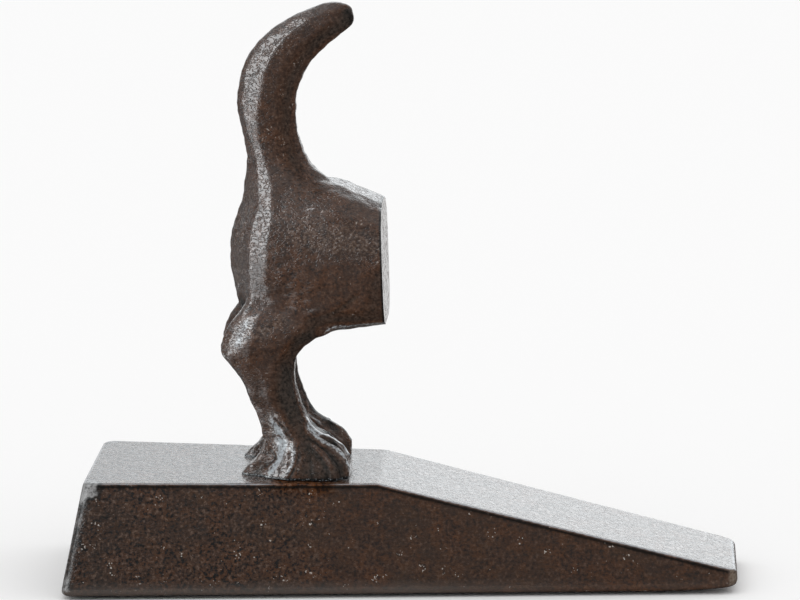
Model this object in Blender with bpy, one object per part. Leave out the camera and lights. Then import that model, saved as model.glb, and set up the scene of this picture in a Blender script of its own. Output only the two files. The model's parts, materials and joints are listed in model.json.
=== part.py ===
"""A cast-iron wedge doorstop: a low wedge, hollow underneath, with the rear half of a dog standing on it.

Metres, +Z up, the wedge's nose towards +X, the floor at Z = 0 and the origin at the middle of the footprint.
Two screws from below, each with a spring washer, hold the dog by its paws. Four soft pads touch the floor.
"""

import math

import bmesh
import bpy
from mathutils import Matrix, Vector

MM = 0.001

# Wedge casting, outside
BASE_LENGTH = 155.0 * MM
HEEL_WIDTH = 66.4 * MM
NOSE_WIDTH = 39.3 * MM
HEEL_HEIGHT = 25.5 * MM
TOP_FALL = 0.6 * MM
FOLD_FROM_HEEL = 72.3 * MM
NOSE_HEIGHT = 4.6 * MM
NOSE_LIFT = 0.9 * MM
NOSE_LIFT_RUN = 18.0 * MM
NOSE_LIFT_STEPS = 4
SIDE_DRAFT = math.radians(10.9)
HEEL_DRAFT = math.radians(11.0)
NOSE_DRAFT = math.radians(3.0)
CORNER_RADIUS = 3.0 * MM
TOP_EDGE_RADIUS = 0.6 * MM
BOTTOM_EDGE_RADIUS = 1.3 * MM

# Wedge casting, hollow underside
WALL = 5.0 * MM
ROOF = 6.0 * MM
HOLLOW_CORNER_RADIUS = 3.0 * MM
RIB_THICKNESS = 4.0 * MM
BOSS_RADIUS = 7.0 * MM
BOSS_RISE = 9.0 * MM
HEEL_LAND_MARGIN = 2.5 * MM
NOSE_LAND_MARGIN = 3.2 * MM
LAND_CORNER_RADIUS = 4.0 * MM

# Floor pads
PAD_RADIUS = 6.0 * MM
PAD_THICKNESS = 1.6 * MM
PAD_PROUD = 0.8 * MM
PAD_SIDE_GAP = 0.3 * MM
PAD_FROM_HEEL = 12.0 * MM
PAD_FROM_NOSE = 27.5 * MM
PAD_FROM_SIDE = 12.0 * MM

# Screws and spring washers
SCREW_RADIUS = 2.5 * MM
SCREW_GRIP = 10.0 * MM
SCREW_HEAD_RADIUS = 4.6 * MM
SCREW_HEAD_HEIGHT = 3.2 * MM
SCREW_HEAD_RIM = 1.1 * MM
SCREW_HEAD_FLAT_RADIUS = 2.6 * MM
SCREW_TIP_CHAMFER = 0.6 * MM
SOCKET_ACROSS = 3.0 * MM
SOCKET_DEPTH = 1.9 * MM
WASHER_RADIUS = 4.4 * MM
WASHER_THICKNESS = 1.2 * MM
WASHER_SLIT = math.radians(12.0)
HOLE_CLEARANCE = 0.3 * MM
TAPPED_HOLE_SPARE = 1.5 * MM

# Dog, placed by the middle of its stance, FIGURE_FROM_HEEL along the wedge's top
FIGURE_FROM_HEEL = 52.7 * MM
STANCE = 20.0 * MM
SCREW_BEHIND_STANCE = 2.5 * MM
TAIL_WIDTH = 12.6 * MM
BODY_WIDTH = 34.0 * MM
LEG_WIDTH = 12.0 * MM
PAW_WIDTH = 15.0 * MM
LEFT_LEG_BACK = 0.8 * MM
CUT_FACE_FORWARD = 20.4 * MM
CUT_FACE_MIDDLE = 48.0 * MM
CUT_FACE_LEAN = math.radians(2.0)
CUT_ALLOWANCE = 3.6 * MM

# The dog's skin: its sections' outline, then how finely they are blended into one skin and evened out
FACET_SHARPNESS = 9.0
SKIN_CELL = 1.1 * MM
SOFTENING_ROUNDS = 4
SOFTENING_LOSS = 0.25 * MM
FACES_KEPT = 0.22

SEAT_GAP = 0.3 * MM
ROUND_STEPS = 32
RING_STEPS = 24
SMOOTH_ANGLE = math.radians(35)

HALF_LENGTH = BASE_LENGTH / 2
FOLD_HEIGHT = HEEL_HEIGHT - TOP_FALL
FLOOR_GAP = PAD_PROUD
FOLD_X = FOLD_FROM_HEEL - HALF_LENGTH
HEEL_TOP_X = HEEL_HEIGHT * math.tan(HEEL_DRAFT) - HALF_LENGTH
NOSE_TOP_X = HALF_LENGTH - NOSE_HEIGHT * math.tan(NOSE_DRAFT)
FIGURE_X = FIGURE_FROM_HEEL - HALF_LENGTH
SCREW_X = FIGURE_X - SCREW_BEHIND_STANCE
BOSS_Z = FLOOR_GAP + BOSS_RISE
FAR = BASE_LENGTH


def top_height(x):
    """Height of the wedge's upper surface above the floor at x."""
    if x < FOLD_X:
        share = (x - HEEL_TOP_X) / (FOLD_X - HEEL_TOP_X)
        return FLOOR_GAP + HEEL_HEIGHT + (FOLD_HEIGHT - HEEL_HEIGHT) * share
    share = (x - FOLD_X) / (NOSE_TOP_X - FOLD_X)
    return FLOOR_GAP + FOLD_HEIGHT + (NOSE_HEIGHT - FOLD_HEIGHT) * share


def half_width(x, z):
    """Half the wedge's width at x, at the height z above the floor."""
    share = (x + HALF_LENGTH) / BASE_LENGTH
    foot = (HEEL_WIDTH + (NOSE_WIDTH - HEEL_WIDTH) * share) / 2
    return foot - (z - FLOOR_GAP) * math.tan(SIDE_DRAFT)


TOP_PITCH = math.atan2(FOLD_HEIGHT - HEEL_HEIGHT, FOLD_X - HEEL_TOP_X)
FIGURE_Z = top_height(FIGURE_X) + SEAT_GAP


def clear_scene():
    for obj in list(bpy.data.objects):
        bpy.data.objects.remove(obj, do_unlink=True)


def material(name, colour, roughness, metallic):
    made = bpy.data.materials.new(name)
    made.use_nodes = True
    shader = made.node_tree.nodes["Principled BSDF"]
    shader.inputs["Base Color"].default_value = (*colour, 1.0)
    shader.inputs["Roughness"].default_value = roughness
    shader.inputs["Metallic"].default_value = metallic
    return made


def object_of(name, shape, finish=None):
    """Turns a bmesh into an object. One with no finish is a helper, which only cuts or fills."""
    bmesh.ops.recalc_face_normals(shape, faces=shape.faces)
    mesh = bpy.data.meshes.new(name)
    shape.to_mesh(mesh)
    shape.free()
    mesh.shade_smooth()
    mesh.set_sharp_from_angle(angle=SMOOTH_ANGLE)
    obj = bpy.data.objects.new(name, mesh)
    bpy.context.scene.collection.objects.link(obj)
    if finish is None:
        obj.hide_render = True
        obj.display_type = "WIRE"
    else:
        mesh.materials.append(finish)
    return obj


def cut(obj, cutter):
    modifier = obj.modifiers.new(f"cut {cutter.name}", "BOOLEAN")
    modifier.operation = "DIFFERENCE"
    modifier.solver = "EXACT"
    modifier.object = cutter


def cylinder(shape, x, y, low, high, radius, steps=ROUND_STEPS):
    """Adds an upright cylinder to a bmesh."""
    place = Matrix.Translation((x, y, (low + high) / 2))
    bmesh.ops.create_cone(
        shape, cap_ends=True, segments=steps, radius1=radius, radius2=radius, depth=high - low, matrix=place
    )


def block(shape, low, high):
    """Adds a box with its corners at low and high to a bmesh."""
    low, high = Vector(low), Vector(high)
    place = Matrix.Translation((low + high) / 2) @ Matrix.Diagonal((*(high - low), 1.0))
    bmesh.ops.create_cube(shape, size=1.0, matrix=place)


def tapered_block(profile, inset):
    """A bmesh of the side view profile, as wide as the wedge is at each point, less inset on either side."""
    shape = bmesh.new()
    sides = []
    for side in (-1, 1):
        points = [(x, side * (half_width(x, z) - inset), z) for x, z in profile]
        sides.append([shape.verts.new(point) for point in points])
    near, far = sides
    shape.faces.new(near)
    shape.faces.new(far)
    for index in range(len(profile)):
        after = (index + 1) % len(profile)
        shape.faces.new((near[index], near[after], far[after], far[index]))
    bmesh.ops.recalc_face_normals(shape, faces=shape.faces)
    return shape


def is_upright(edge):
    """Whether an edge of a block climbs along one of its corners, plumb or leaning with the draft."""
    first, second = (vertex.co for vertex in edge.verts)
    same_side = first.y * second.y > 0
    return same_side and abs(first.z - second.z) > 2 * abs(first.x - second.x)


def bevel(shape, edges, radius, steps):
    bmesh.ops.bevel(
        shape, geom=edges, offset=radius, segments=steps, profile=0.5, affect="EDGES", clamp_overlap=True
    )


def rim_edges(shape, facing_up):
    """The sharp edges round the upper faces of a block, or round its underside."""
    found = []
    for edge in shape.edges:
        if len(edge.link_faces) != 2 or edge.calc_face_angle(0) < math.radians(45):
            continue
        lifts = [face.normal.z if facing_up else -face.normal.z for face in edge.link_faces]
        if max(lifts) > 0.9 and min(lifts) < 0.5:
            found.append(edge)
    return found


def wedge_profile():
    """The wedge seen from the side, from the heel's foot round by the nose to the heel's top."""
    floor = FLOOR_GAP
    points = [(-HALF_LENGTH, floor)]
    for step in range(NOSE_LIFT_STEPS + 1):
        share = step / NOSE_LIFT_STEPS
        points.append((HALF_LENGTH - NOSE_LIFT_RUN * (1 - share), floor + NOSE_LIFT * share**2))
    points.append((NOSE_TOP_X, floor + NOSE_HEIGHT))
    points.append((FOLD_X, floor + FOLD_HEIGHT))
    points.append((HEEL_TOP_X, floor + HEEL_HEIGHT))
    return points


def hollow_profile():
    """The hollow seen from the side: it keeps the wall at the heel and the roof all along."""
    end = HALF_LENGTH - PAD_FROM_NOSE - PAD_RADIUS - PAD_SIDE_GAP - NOSE_LAND_MARGIN
    start = WALL - HALF_LENGTH
    lean = math.tan(HEEL_DRAFT)
    below = FLOOR_GAP - WALL
    ceiling = top_height(start) - ROOF
    return [
        (start - WALL * lean, below),
        (end + WALL * lean, below),
        (end - (top_height(end) - ROOF - FLOOR_GAP) * lean, top_height(end) - ROOF),
        (FOLD_X, top_height(FOLD_X) - ROOF),
        (start + (ceiling - FLOOR_GAP) * lean, ceiling),
    ]


def pad_places():
    """Each floor pad's name and place, the same distance in from the wedge's sides at either end."""
    places = {}
    for end, x in (("heel", PAD_FROM_HEEL - HALF_LENGTH), ("nose", HALF_LENGTH - PAD_FROM_NOSE)):
        y = half_width(x, FLOOR_GAP) - PAD_FROM_SIDE
        places[f"pad_{end}_left"] = (x, y)
        places[f"pad_{end}_right"] = (x, -y)
    return places


def hollow_cutter():
    """The hollow, left filled where the rib, the screw bosses and the heel pads' lands stand in it."""
    shape = tapered_block(hollow_profile(), WALL)
    bevel(shape, [edge for edge in shape.edges if is_upright(edge)], HOLLOW_CORNER_RADIUS, steps=3)
    hollow = object_of("hollow", shape)

    rib = bmesh.new()
    ceiling = top_height(SCREW_X)
    block(rib, (SCREW_X - RIB_THICKNESS / 2, -FAR, BOSS_Z), (SCREW_X + RIB_THICKNESS / 2, FAR, ceiling))
    cut(hollow, object_of("rib", rib))

    bosses = bmesh.new()
    lands = bmesh.new()
    reach = PAD_RADIUS + HEEL_LAND_MARGIN
    pad_x, pad_y = pad_places()["pad_heel_left"]
    for side in (-1, 1):
        cylinder(bosses, SCREW_X, side * STANCE / 2, BOSS_Z, ceiling, BOSS_RADIUS)
        low_y, high_y = sorted((side * (pad_y - reach), side * FAR))
        block(lands, (-FAR, low_y, -FAR), (pad_x + reach, high_y, FAR))
    bevel(lands, [edge for edge in lands.edges if is_upright(edge)], LAND_CORNER_RADIUS, steps=4)
    cut(hollow, object_of("bosses", bosses))
    cut(hollow, object_of("pad_lands", lands))
    return hollow


def wedge_base(finish):
    shape = tapered_block(wedge_profile(), 0.0)
    bevel(shape, [edge for edge in shape.edges if is_upright(edge)], CORNER_RADIUS, steps=5)
    bevel(shape, rim_edges(shape, facing_up=False), BOTTOM_EDGE_RADIUS, steps=4)
    bevel(shape, rim_edges(shape, facing_up=True), TOP_EDGE_RADIUS, steps=2)
    base = object_of("wedge_base", shape, finish)
    cut(base, hollow_cutter())

    holes = bmesh.new()
    for side in (-1, 1):
        cylinder(holes, SCREW_X, side * STANCE / 2, BOSS_Z - WALL, FAR, SCREW_RADIUS + HOLE_CLEARANCE)
    recess_top = FLOOR_GAP - PAD_PROUD + PAD_THICKNESS + SEAT_GAP
    for x, y in pad_places().values():
        cylinder(holes, x, y, FLOOR_GAP - WALL, recess_top, PAD_RADIUS + PAD_SIDE_GAP)
    cut(base, object_of("base_holes", holes))
    return base


def turned(name, profile, finish):
    """Spins a profile of (radius, height) points, both ends on the axis, round an upright axis."""
    shape = bmesh.new()
    points = [shape.verts.new((radius, 0.0, height)) for radius, height in profile]
    edges = [shape.edges.new(pair) for pair in zip(points, points[1:])]
    bmesh.ops.spin(
        shape,
        geom=points + edges,
        cent=(0, 0, 0),
        axis=(0, 0, 1),
        angle=2 * math.pi,
        steps=ROUND_STEPS,
        use_merge=True,
    )
    bmesh.ops.remove_doubles(shape, verts=shape.verts, dist=0.01 * MM)
    return object_of(name, shape, finish)


def floor_pad(name, finish, x, y):
    edge = PAD_PROUD / 2
    profile = [
        (0.0, PAD_THICKNESS),
        (PAD_RADIUS, PAD_THICKNESS),
        (PAD_RADIUS, edge),
        (PAD_RADIUS - edge, 0.0),
        (0.0, 0.0),
    ]
    pad = turned(name, profile, finish)
    pad.location = (x, y, FLOOR_GAP - PAD_PROUD)
    return pad


def head_seat():
    """Height of the screw head's bearing face, under the washer, under the boss."""
    return BOSS_Z - 2 * SEAT_GAP - WASHER_THICKNESS


def paw_screw(name, finish, y):
    """A screw that points up, with a rounded head and a six-sided socket below."""
    tip = FIGURE_Z + SCREW_GRIP - head_seat()
    profile = [
        (0.0, tip),
        (SCREW_RADIUS - SCREW_TIP_CHAMFER, tip),
        (SCREW_RADIUS, tip - SCREW_TIP_CHAMFER),
        (SCREW_RADIUS, 0.0),
        (SCREW_HEAD_RADIUS, 0.0),
    ]
    for step in range(4):
        turn = math.pi / 2 * step / 3
        radius = SCREW_HEAD_FLAT_RADIUS + (SCREW_HEAD_RADIUS - SCREW_HEAD_FLAT_RADIUS) * math.cos(turn)
        profile.append((radius, -SCREW_HEAD_RIM - (SCREW_HEAD_HEIGHT - SCREW_HEAD_RIM) * math.sin(turn)))
    profile.append((0.0, -SCREW_HEAD_HEIGHT))
    screw = turned(name, profile, finish)
    screw.location = (SCREW_X, y, head_seat())

    socket = bmesh.new()
    corner = SOCKET_ACROSS / math.sqrt(3)
    cylinder(socket, 0, 0, -SCREW_HEAD_HEIGHT - SOCKET_DEPTH, -SCREW_HEAD_HEIGHT + SOCKET_DEPTH, corner, steps=6)
    cutter = object_of(f"{name}_socket", socket)
    cutter.parent = screw
    cut(screw, cutter)
    return screw


def spring_washer(name, finish, y):
    """A square-section ring with one slit."""
    shape = bmesh.new()
    inner = SCREW_RADIUS + HOLE_CLEARANCE
    corners = [(inner, 0.0), (WASHER_RADIUS, 0.0), (WASHER_RADIUS, WASHER_THICKNESS), (inner, WASHER_THICKNESS)]
    sections = []
    for step in range(ROUND_STEPS + 1):
        turn = WASHER_SLIT / 2 + (2 * math.pi - WASHER_SLIT) * step / ROUND_STEPS
        spots = [(radius * math.cos(turn), radius * math.sin(turn), height) for radius, height in corners]
        sections.append([shape.verts.new(spot) for spot in spots])
    for here, there in zip(sections, sections[1:]):
        for index in range(len(corners)):
            after = (index + 1) % len(corners)
            shape.faces.new((here[index], here[after], there[after], there[index]))
    shape.faces.new(sections[0])
    shape.faces.new(sections[-1])
    washer = object_of(name, shape, finish)
    washer.location = (SCREW_X, y, head_seat() + SEAT_GAP)
    return washer


def facet_radius(angle, facets):
    """Distance from a section's middle to its edge, for a many-sided outline with softened corners."""
    total = 0.0
    for facing, distance in facets:
        total += max(0.0, math.cos(angle - facing) / distance) ** FACET_SHARPNESS
    return total ** (-1 / FACET_SHARPNESS)


def section(first, second, half_breadth, y, first_corner, second_corner):
    """One ring round a limb.

    first and second are the two edges that the side view shows, as (forward, up) from the middle of the
    stance. half_breadth is across, y is the ring's middle, and the corners say how full the section is
    towards either edge: 1 is an even eight-sided outline, and above 1 is squarer.
    """
    facets = [(0.0, 1.0), (math.pi, 1.0)]
    for side in (-1, 1):
        facets += [
            (side * math.pi / 2, 1.0),
            (side * math.pi / 4, second_corner),
            (side * math.pi * 3 / 4, first_corner),
        ]
    first, second = Vector(first), Vector(second)
    middle, reach = (first + second) / 2, (second - first) / 2
    reach = reach.normalized() * (reach.length + SOFTENING_LOSS)
    half_breadth += SOFTENING_LOSS
    ring = []
    for step in range(RING_STEPS):
        angle = 2 * math.pi * step / RING_STEPS
        radius = facet_radius(angle, facets)
        spot = middle + reach * radius * math.cos(angle)
        ring.append((spot.x, y + half_breadth * radius * math.sin(angle), spot.y))
    return ring


def loft(shape, rings):
    """Adds a closed skin over the rings to a bmesh."""
    sections = [[shape.verts.new(point) for point in ring] for ring in rings]
    for here, there in zip(sections, sections[1:]):
        for index in range(RING_STEPS):
            after = (index + 1) % RING_STEPS
            shape.faces.new((here[index], here[after], there[after], there[index]))
    shape.faces.new(sections[0][::-1])
    shape.faces.new(sections[-1])


def scaled_sections(rows, breadth, y=0.0, mirror=1, back=0.0):
    """Rings from rows of millimetres: (first edge), (second edge), share of the breadth, sideways, corners."""
    rings = []
    for first, second, share, aside, first_corner, second_corner in rows:
        first = (first[0] * MM - back, first[1] * MM)
        second = (second[0] * MM - back, second[1] * MM)
        middle = y + mirror * aside * MM
        rings.append(section(first, second, share * breadth / 2, middle, first_corner, second_corner))
    return rings


def tail_and_rump():
    """From the tail's tip, over its curl and down into the rump. The first edge is the tail's outer side."""
    return scaled_sections(
        [
            ((12.3, 107.4), (13.1, 105.3), 0.18, 0, 0.9, 0.9),
            ((10.8, 108.5), (13.2, 103.9), 0.38, 0, 0.9, 0.9),
            ((6.6, 108.4), (11.1, 101.6), 0.56, 0, 0.85, 1.0),
            ((1.2, 106.7), (7.3, 98.7), 0.72, 0, 0.8, 1.05),
            ((-4.2, 103.9), (4.2, 95.7), 0.85, 0, 0.8, 1.05),
            ((-9.2, 99.9), (1.8, 92.5), 0.94, 0, 0.8, 1.05),
            ((-12.6, 94.3), (0.3, 89.5), 1.0, 0, 0.8, 1.05),
            ((-14.4, 87.0), (-0.2, 85.8), 1.0, 0, 0.8, 1.05),
            ((-13.8, 81.0), (-0.2, 81.2), 0.97, 0, 0.82, 1.0),
            ((-12.3, 75.0), (0.8, 75.4), 0.96, 0, 0.85, 1.0),
            ((-12.0, 69.5), (3.6, 70.4), 1.12, 0, 0.9, 0.95),
            ((-12.6, 64.0), (9.0, 65.0), 1.5, 0, 1.0, 0.95),
            ((-14.0, 58.5), (12.0, 59.0), 1.9, 0, 1.05, 1.0),
        ],
        TAIL_WIDTH,
    )


def body():
    """Upright rings from the back of the rump to past the cut face. The first edge is the belly."""
    end = (CUT_FACE_FORWARD + CUT_ALLOWANCE) / MM
    return scaled_sections(
        [
            ((-15.6, 46.5), (-15.6, 54.5), 0.3, 0, 1.0, 1.0),
            ((-14.6, 42.5), (-14.6, 58.6), 0.6, 0, 1.05, 1.0),
            ((-12.5, 38.0), (-12.5, 62.8), 0.8, 0, 1.1, 1.0),
            ((-9.0, 34.0), (-9.0, 65.6), 0.93, 0, 1.15, 1.0),
            ((-3.0, 31.4), (-3.0, 67.4), 0.98, 0, 1.15, 0.98),
            ((4.0, 31.0), (4.0, 67.6), 1.0, 0, 1.12, 1.0),
            ((9.0, 32.3), (9.0, 66.8), 1.0, 0, 1.1, 1.08),
            ((14.0, 32.7), (14.0, 64.5), 1.0, 0, 1.1, 1.15),
            ((end, 33.8), (end, 60.8), 0.97, 0, 1.1, 1.2),
        ],
        BODY_WIDTH,
    )


def leg(side):
    """Level rings from inside the rump down to the paw. The first edge is the back of the leg."""
    return scaled_sections(
        [
            ((-11.0, 48.0), (9.0, 48.0), 1.1, -2.5, 1.0, 1.0),
            ((-13.0, 42.0), (10.0, 42.0), 1.2, -1.8, 1.0, 1.0),
            ((-14.3, 38.0), (8.8, 38.0), 1.2, -1.2, 1.0, 1.0),
            ((-15.8, 34.4), (6.8, 33.8), 1.16, -0.6, 0.95, 1.0),
            ((-17.4, 31.0), (3.8, 30.0), 1.1, -0.2, 0.9, 1.0),
            ((-17.8, 28.4), (1.2, 28.0), 1.06, 0.0, 0.88, 1.0),
            ((-16.2, 25.6), (0.0, 25.6), 1.02, 0.0, 0.88, 1.0),
            ((-12.9, 22.2), (0.0, 22.4), 0.98, 0.0, 0.9, 1.0),
            ((-10.5, 17.2), (1.3, 17.6), 0.94, 0.0, 0.95, 1.0),
            ((-8.4, 12.6), (3.4, 13.2), 0.94, 0.0, 1.0, 1.0),
            ((-7.4, 8.6), (5.4, 9.2), 0.96, 0.2, 1.0, 1.0),
            ((-7.6, 3.0), (7.0, 3.0), 0.98, 0.4, 1.0, 1.0),
        ],
        LEG_WIDTH,
        side * STANCE / 2,
        side,
        LEFT_LEG_BACK if side > 0 else 0.0,
    )


def paw(side):
    """Upright rings from the heel's flare to the toes. The first edge is below the sole, where it is cut."""
    return scaled_sections(
        [
            ((-13.2, -1.2), (-13.2, 0.5), 0.25, 0.4, 1.0, 1.0),
            ((-11.2, -2.4), (-11.2, 1.6), 0.5, 0.4, 1.0, 1.0),
            ((-9.2, -4.8), (-9.2, 3.6), 0.7, 0.4, 1.0, 1.0),
            ((-7.0, -7.5), (-7.0, 6.6), 0.84, 0.4, 1.0, 1.0),
            ((-2.0, -10.0), (-2.0, 10.0), 0.93, 0.4, 1.0, 1.0),
            ((3.0, -11.4), (3.0, 11.4), 1.0, 0.5, 1.0, 0.95),
            ((6.4, -9.6), (6.4, 9.6), 1.06, 0.5, 1.1, 1.0),
            ((9.2, -7.6), (9.2, 7.6), 1.04, 0.5, 1.1, 1.05),
            ((11.3, -5.2), (11.3, 5.2), 0.92, 0.5, 1.1, 1.05),
            ((12.5, -2.8), (12.5, 2.8), 0.62, 0.5, 1.0, 1.0),
        ],
        PAW_WIDTH,
        side * STANCE / 2,
        side,
        LEFT_LEG_BACK if side > 0 else 0.0,
    )


def sole_cutter():
    """Everything below the plane of the soles, which lies parallel to the wedge's top."""
    shape = bmesh.new()
    block(shape, (-FAR / 2, -FAR / 2, -FAR), (FAR / 2, FAR / 2, 0.0))
    cutter = object_of("below_soles", shape)
    cutter.location = (FIGURE_X, 0, FIGURE_Z)
    cutter.rotation_euler = (0, -TOP_PITCH, 0)
    return cutter


def front_cutter():
    """Everything ahead of the flat face where the body ends."""
    shape = bmesh.new()
    block(shape, (0.0, -FAR / 2, -FAR / 4), (FAR / 2, FAR / 2, FAR / 4))
    cutter = object_of("ahead_of_cut_face", shape)
    cutter.location = (FIGURE_X + CUT_FACE_FORWARD, 0, FIGURE_Z + CUT_FACE_MIDDLE)
    cutter.rotation_euler = (0, -CUT_FACE_LEAN, 0)
    return cutter


def tapped_holes():
    shape = bmesh.new()
    depth = SCREW_GRIP + TAPPED_HOLE_SPARE
    for side in (-1, 1):
        y = side * STANCE / 2
        cylinder(shape, SCREW_X, y, FIGURE_Z - WALL, FIGURE_Z + depth, SCREW_RADIUS + HOLE_CLEARANCE)
    return object_of("tapped_holes", shape)


def dog_figure(finish):
    shape = bmesh.new()
    loft(shape, tail_and_rump())
    loft(shape, body())
    for side in (-1, 1):
        loft(shape, leg(side))
        loft(shape, paw(side))
    bmesh.ops.translate(shape, verts=shape.verts, vec=(FIGURE_X, 0, FIGURE_Z))
    dog = object_of("dog_figure", shape, finish)

    skin = dog.modifiers.new("one skin", "REMESH")
    skin.mode = "VOXEL"
    skin.voxel_size = SKIN_CELL
    skin.use_smooth_shade = True
    soften = dog.modifiers.new("soften", "SMOOTH")
    soften.iterations = SOFTENING_ROUNDS
    thin = dog.modifiers.new("fewer faces", "DECIMATE")
    thin.ratio = FACES_KEPT
    cut(dog, front_cutter())
    cut(dog, sole_cutter())
    cut(dog, tapped_holes())
    return dog


def main():
    clear_scene()
    iron = material("brown_lacquered_iron", (0.05, 0.026, 0.018), 0.4, 0.6)
    steel = material("zinc_plated_steel", (0.62, 0.62, 0.6), 0.35, 1.0)
    rubber = material("soft_pad", (0.03, 0.03, 0.03), 0.85, 0.0)

    wedge_base(iron)
    dog_figure(iron)
    for hand, side in (("left", 1), ("right", -1)):
        paw_screw(f"paw_screw_{hand}", steel, side * STANCE / 2)
        spring_washer(f"spring_washer_{hand}", steel, side * STANCE / 2)
    for name, (x, y) in pad_places().items():
        floor_pad(name, rubber, x, y)


main()
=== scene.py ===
"""Looks of a cast-iron wedge doorstop with the rear half of a dog on it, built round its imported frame.

Metres, the wedge's nose towards +X, the dog's left towards +Y, +Z up, the floor at Z = 0. The tables of the
dog's shape and marks are in millimetres forward, left and up from the point under the middle of its stance.
"""

import json
import math

import bmesh
import bpy
import numpy as np
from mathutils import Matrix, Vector, noise


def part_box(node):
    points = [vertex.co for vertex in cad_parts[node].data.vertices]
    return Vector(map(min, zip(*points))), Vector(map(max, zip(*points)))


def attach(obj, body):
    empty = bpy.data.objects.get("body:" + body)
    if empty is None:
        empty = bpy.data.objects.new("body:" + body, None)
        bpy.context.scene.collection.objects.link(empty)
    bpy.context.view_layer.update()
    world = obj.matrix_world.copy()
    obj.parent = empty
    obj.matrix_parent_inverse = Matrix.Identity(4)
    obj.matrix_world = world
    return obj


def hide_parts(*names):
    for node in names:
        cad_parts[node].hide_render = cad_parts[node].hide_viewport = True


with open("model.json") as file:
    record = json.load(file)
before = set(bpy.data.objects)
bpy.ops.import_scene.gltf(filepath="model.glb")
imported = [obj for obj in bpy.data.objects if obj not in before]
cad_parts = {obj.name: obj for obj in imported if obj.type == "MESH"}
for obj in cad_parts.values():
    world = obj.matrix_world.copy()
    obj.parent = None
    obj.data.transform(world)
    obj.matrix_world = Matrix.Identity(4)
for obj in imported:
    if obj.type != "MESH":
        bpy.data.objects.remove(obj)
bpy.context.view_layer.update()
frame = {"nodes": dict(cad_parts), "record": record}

MM = 0.001

# The photograph's view. The scale is that at the point looked at, in a picture 800 pixels wide.
VIEW_AZIMUTH = math.radians(2.434)
VIEW_ELEVATION = math.radians(9.028)
VIEW_DISTANCE = 1324.6 * MM
VIEW_TARGET = Vector((-1.0, 0.0, 64.9)) * MM
PICTURE_PIXELS = 800
PIXELS_PER_MM = 4.316
SENSOR = 36.0
CLIP_START = 50 * MM

# Grain of the fine meshes: their voxels, the rounds of smoothing after them, the steps along each side of a
# ring and the rings from one row of a limb's table to the next
DOG_CELL = 0.45 * MM
DOG_SOFTENING = 4
WEDGE_CELL = 0.5 * MM
WEDGE_SOFTENING = 1
EDGE_STEPS = 5
RINGS_BETWEEN = 5
MELT_LEVELS = 4
SAME_PLACE = 0.001 * MM
SHARP_ANGLE = math.radians(50)

# The dog's screws are this far behind the middle of its stance in the frame
SCREW_BEHIND_STANCE = 2.5 * MM

# The frame's faces that are the dog's soles: they look down, this near to the dog's lowest point
SOLE_LOOKS_DOWN = -0.999
SOLE_LAYER = 0.5 * MM

# The left leg against the right one: how far back it is, in millimetres, and the share of the crest it has.
# Then the share of the outer side's distance that the inner side of either leg stands out.
LEFT_LEG_BACK = 0.8
LEFT_CREST = 0.3
INNER_SHARE = 0.92


def mounts():
    return {mount["name"]: mount for mount in frame["record"]["mounts"]}


def middle_of(node):
    low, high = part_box(node)
    return (low + high) / 2


CUT_POINT = Vector(mounts()["door_face_stop"]["pos_m"])
CUT_NORMAL = Vector(mounts()["door_face_stop"]["axis"])
STANCE = middle_of("paw_screw_left").y - middle_of("paw_screw_right").y
STANCE_X = middle_of("paw_screw_left").x + SCREW_BEHIND_STANCE


def sole_plane():
    """The point of the soles' plane in the frame that is under the middle of the stance, and its normal."""
    node = frame["nodes"]["dog_figure"]
    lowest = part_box("dog_figure")[0].z
    normal, place, total = Vector(), Vector(), 0.0
    for face in node.data.polygons:
        if face.normal.z < SOLE_LOOKS_DOWN and face.center.z < lowest + SOLE_LAYER:
            normal += face.normal * face.area
            place += face.center * face.area
            total += face.area
    normal.normalize()
    place /= total
    drop = normal.x / normal.z * (STANCE_X - place.x)
    return Vector((STANCE_X, 0, place.z - drop)), normal


SOLE_POINT, SOLE_NORMAL = sole_plane()


# Meshes


def new_object(name, data):
    obj = bpy.data.objects.new(name, data)
    bpy.context.scene.collection.objects.link(obj)
    return obj


def applied(obj):
    """The object with its modifiers worked into its mesh."""
    graph = bpy.context.evaluated_depsgraph_get()
    mesh = bpy.data.meshes.new_from_object(obj.evaluated_get(graph))
    obj.modifiers.clear()
    old = obj.data
    obj.data = mesh
    bpy.data.meshes.remove(old)
    return obj


def one_skin(obj, cell, softening):
    """The object with one closed skin of voxels of the given size, smoothed so many rounds."""
    remesh = obj.modifiers.new("skin", "REMESH")
    remesh.mode = "VOXEL"
    remesh.voxel_size = cell
    remesh.use_smooth_shade = True
    soften = obj.modifiers.new("soften", "SMOOTH")
    soften.iterations = softening
    return applied(obj)


def per_vertex(mesh, field):
    """A vector of each vertex of a mesh as an array of three columns."""
    values = np.empty(len(mesh.vertices) * 3, np.float64)
    mesh.vertices.foreach_get(field, values)
    return values.reshape(-1, 3)


def place_all(mesh, spots):
    mesh.vertices.foreach_set("co", spots.astype(np.float32).ravel())
    mesh.update()


def cut_flat(obj, point, normal):
    """Cuts away what lies beyond a plane and closes the cut with a flat face."""
    shape = bmesh.new()
    shape.from_mesh(obj.data)
    geometry = shape.verts[:] + shape.edges[:] + shape.faces[:]
    found = bmesh.ops.bisect_plane(
        shape, geom=geometry, dist=SAME_PLACE, plane_co=point, plane_no=normal, clear_outer=True
    )
    rim = [item for item in found["geom_cut"] if isinstance(item, bmesh.types.BMEdge)]
    filled = bmesh.ops.triangle_fill(shape, use_beauty=True, use_dissolve=False, edges=rim, normal=normal)
    for item in filled["geom"]:
        if isinstance(item, bmesh.types.BMFace):
            item.smooth = True
    shape.to_mesh(obj.data)
    shape.free()


# The dog's limbs


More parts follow.
